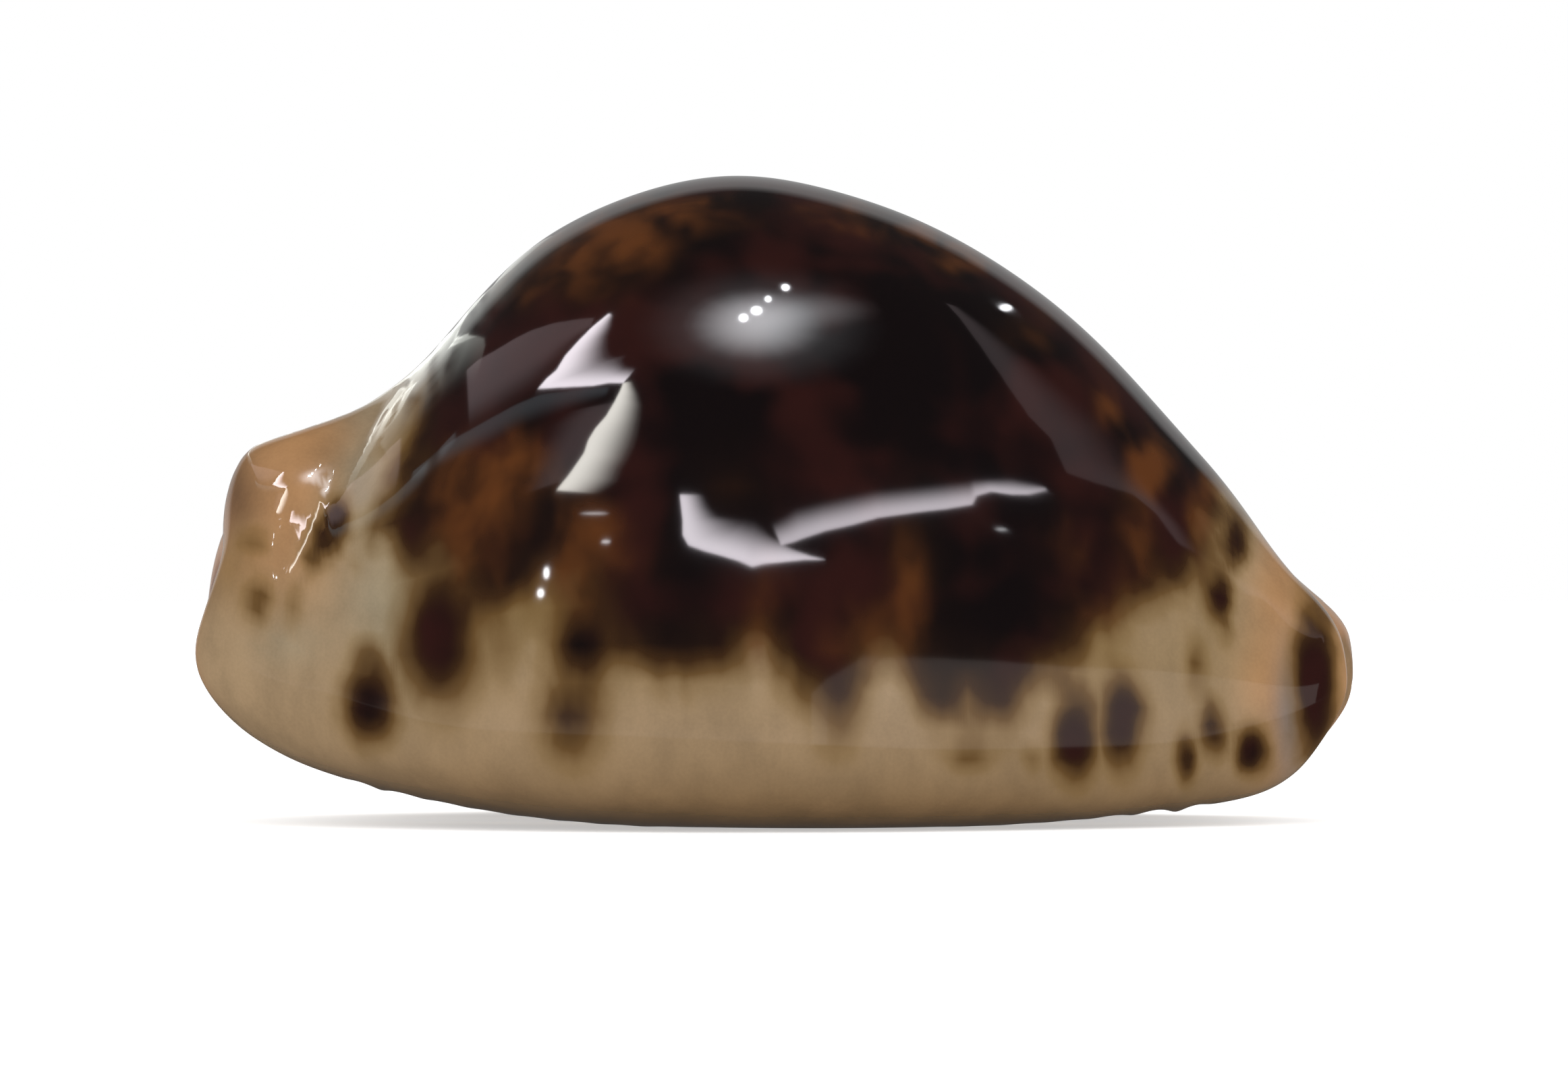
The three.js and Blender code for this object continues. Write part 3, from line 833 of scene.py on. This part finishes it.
WALL_LEFT = [
    (-11.0, 43.4, -9.4, 41.8),
    (-14.6, 41.6, -12.6, 40.2),
    (-17.8, 39.7, -15.2, 38.8),
    (-20.4, 37.4, -17.2, 37.4),
    (-21.9, 36.1, -18.1, 36.1),
    (-22.7, 35.2, -18.8, 35.1),
    (-23.6, 34.1, -19.5, 34.0),
    (-24.3, 33.1, -20.6, 32.9),
    (-25.0, 32.1, -21.4, 31.9),
    (-25.6, 31.0, -22.2, 30.7),
    (-26.1, 29.9, -23.1, 29.4),
    (-26.7, 29.1, -24.2, 27.9),
    (-27.4, 28.2, -25.5, 26.3),
    (-28.0, 26.9, -26.8, 24.6),
]

# Dark gaps in the tall card on the left: middle x and z, half width and half height, depth.
WALL_GAPS = [
    (-19.7, 34.9, 0.75, 0.8, 1),
    (-20.8, 33.8, 0.75, 0.8, 1),
    (-22.1, 32.5, 0.75, 0.8, 1),
    (-23.1, 31.4, 0.6, 0.7, 1),
    (-20.6, 36.1, 0.35, 0.5, 1),
    (-21.5, 35.1, 0.35, 0.5, 1),
    (-22.4, 34.1, 0.35, 0.5, 1),
    (-25.2, 28.9, 0.45, 0.5, 1),
]

# Round lamps: middle x and z, half width and half height, all in the side view, and brightness.
# A small lamp has a firmer edge and hangs a little nearer, before the large soft ones.
LAMP_CORNERS = 16
SMALL_LAMP = 1.5
SMALL_LAMP_FADES_FROM = 0.5
SMALL_LAMP_NEARER = 0.94
LAMPS = [
    (-1.6, 34.2, 5.2, 2.7, 7.5),
    (0.8, 35.2, 6.4, 1.6, 2.2),
    (-1.4, 34.0, 9.0, 4.6, 1.1),
    (-2.5, 34.7, 0.34, 0.3, 90),
    (-1.6, 35.2, 0.42, 0.32, 90),
    (-0.8, 36.0, 0.24, 0.24, 70),
    (0.4, 36.8, 0.3, 0.26, 80),
    (-16.1, 17.1, 0.24, 0.5, 40),
    (-16.5, 15.7, 0.3, 0.36, 40),
    (15.6, 35.4, 0.55, 0.3, 16),
    (15.3, 20.1, 0.5, 0.14, 9),
    (-12.0, 19.25, 0.42, 0.12, 18),
    (-12.8, 21.2, 1.2, 0.09, 12),
]

bpy.context.view_layer.update()
skin_tree = BVHTree.FromObject(shell, bpy.context.evaluated_depsgraph_get())
eye = camera.location.copy()
shell_middle = Vector((0, 0, SEEN_HEIGHT * MM))


STEP_INWARD = 0.01


def thrown_off(side_x, side_z):
    """The point of the shell at a place of the side view, and where its glaze throws that look."""
    target = Vector((side_x * MM, 0, side_z * MM))
    place = None
    while place is None:
        look = (target - eye).normalized()
        place, _, face, _ = skin_tree.ray_cast(eye, look)
        target = target.lerp(shell_middle, STEP_INWARD)
    corners = [shell.data.vertices[i] for i in shell.data.polygons[face].vertices]
    weights = poly_3d_calc([corner.co for corner in corners], place)
    normal = Vector()
    for corner, weight in zip(corners, weights):
        normal += corner.normal * weight
    return place, look.reflect(normal.normalized())


# A card's light adds to what is behind it, and it is seen in the glaze alone.
board_light = bpy.data.materials.new("board_light")
board_light.use_nodes = True
board_light.cycles.emission_sampling = "NONE"
board_light.node_tree.nodes.clear()
lit = board_light.node_tree.nodes.new("ShaderNodeEmission")
lit_output = board_light.node_tree.nodes.new("ShaderNodeOutputMaterial")
brightness = board_light.node_tree.nodes.new("ShaderNodeAttribute")
brightness.attribute_name = "brightness"
clear = board_light.node_tree.nodes.new("ShaderNodeBsdfTransparent")
lit_and_clear = board_light.node_tree.nodes.new("ShaderNodeAddShader")
board_light.node_tree.links.new(brightness.outputs["Color"], lit.inputs["Color"])
board_light.node_tree.links.new(lit.outputs["Emission"], lit_and_clear.inputs[0])
board_light.node_tree.links.new(clear.outputs["BSDF"], lit_and_clear.inputs[1])
board_light.node_tree.links.new(lit_and_clear.outputs["Shader"], lit_output.inputs["Surface"])


def light_card(name, strips, peak, colour, fade_from, distance=CARD_DISTANCE, **cut):
    """A card brightest along its first edge, which fades from fade_from to its second edge.

    It may also be widened by spread, darkened by gaps and dimmed along end_fade of its length.
    """
    spread = cut.get("spread", 1)
    gaps = cut.get("gaps", [])
    end_fade = cut.get("end_fade", 0)
    strips = np.array(strips)
    bpy.ops.object.select_all(action="DESELECT")
    bpy.ops.mesh.primitive_grid_add(
        size=1, x_subdivisions=2 * (len(strips) - 1), y_subdivisions=ACROSS_STEPS
    )
    card = bpy.context.object
    card.name = name
    glow = []
    for corner in card.data.vertices:
        along = (corner.co.x + 0.5) * (len(strips) - 1)
        across = corner.co.y + 0.5
        edges = [np.interp(along, range(len(strips)), strips[:, i]) for i in range(4)]
        card_x = edges[0] + (edges[2] - edges[0]) * across * spread
        card_z = edges[1] + (edges[3] - edges[1]) * across * spread
        place, reflection = thrown_off(card_x, card_z)
        corner.co = place + reflection * distance
        corner.co.z = max(corner.co.z, CARD_LOWEST)
        shade = peak * (1 - step_up(across, fade_from, JUST_PAST_EDGE))
        shade *= 1 - brushed(np.array([card_x]), np.array([card_z]), gaps)[0]
        if end_fade > 0:
            shade *= step_up(along / (len(strips) - 1), 0, end_fade)
        glow.extend([shade * colour[0], shade * colour[1], shade * colour[2], 1])
    card.data.attributes.new("brightness", "FLOAT_COLOR", "POINT").data.foreach_set("color", glow)
    card.data.materials.append(board_light)
    card.visible_camera = False
    card.visible_diffuse = False
    card.visible_shadow = False


def lamp(name, x, z, half_width, half_height, peak):
    """A round lamp, brightest in its middle."""
    turns = [math.tau * i / LAMP_CORNERS for i in range(LAMP_CORNERS + 1)]
    strips = [(x, z, x + half_width * math.cos(t), z + half_height * math.sin(t)) for t in turns]
    is_small = max(half_width, half_height) < SMALL_LAMP
    fade_from = SMALL_LAMP_FADES_FROM if is_small else 0
    distance = CARD_DISTANCE * (SMALL_LAMP_NEARER if is_small else 1)
    light_card(name, strips, peak, LAMP_WHITE, fade_from, distance)


WINDOW_WHITE = (1, 0.93, 1)
WINDOW_CREAM = (1, 0.97, 0.9)
WALL_WHITE = (0.94, 0.97, 0.9)
BOARD_SKY = (0.7, 0.9, 1)
BOARD_MAUVE = (1, 0.82, 0.86)
BOARD_PINK = (1, 0.9, 0.86)
LAMP_WHITE = (0.95, 0.96, 1)
light_card("window_upper", WINDOW_UPPER, 17, WINDOW_WHITE, 0, spread=1.5)
light_card("window_side", WINDOW_SIDE, 16, WINDOW_CREAM, 0, spread=1.3)
light_card("window_lower_left", WINDOW_LOWER_LEFT, 15, WINDOW_WHITE, 0, spread=1.7)
light_card("window_lower_right", WINDOW_LOWER_RIGHT, 11, WINDOW_WHITE, 0, spread=1.3)
light_card("board_left", BOARD_LEFT, 0.8, BOARD_MAUVE, 0.5)
light_card("board_right", BOARD_RIGHT, 0.45, BOARD_MAUVE, 0.2)
light_card("board_blue", BOARD_BLUE, 0.6, BOARD_SKY, 0.2)
light_card("board_low", BOARD_LOW, 0.7, BOARD_MAUVE, 0.3)
light_card("wall_left", WALL_LEFT, 1.0, WALL_WHITE, 0.2, gaps=WALL_GAPS, end_fade=0.5)
light_card("board_front_left", BOARD_FRONT_LEFT, 0.55, BOARD_PINK, 0.1)
light_card("board_front_right", BOARD_FRONT_RIGHT, 0.6, BOARD_PINK, 0.96)
for i, lamp_place in enumerate(LAMPS):
    lamp(f"lamp_{i}", *lamp_place)
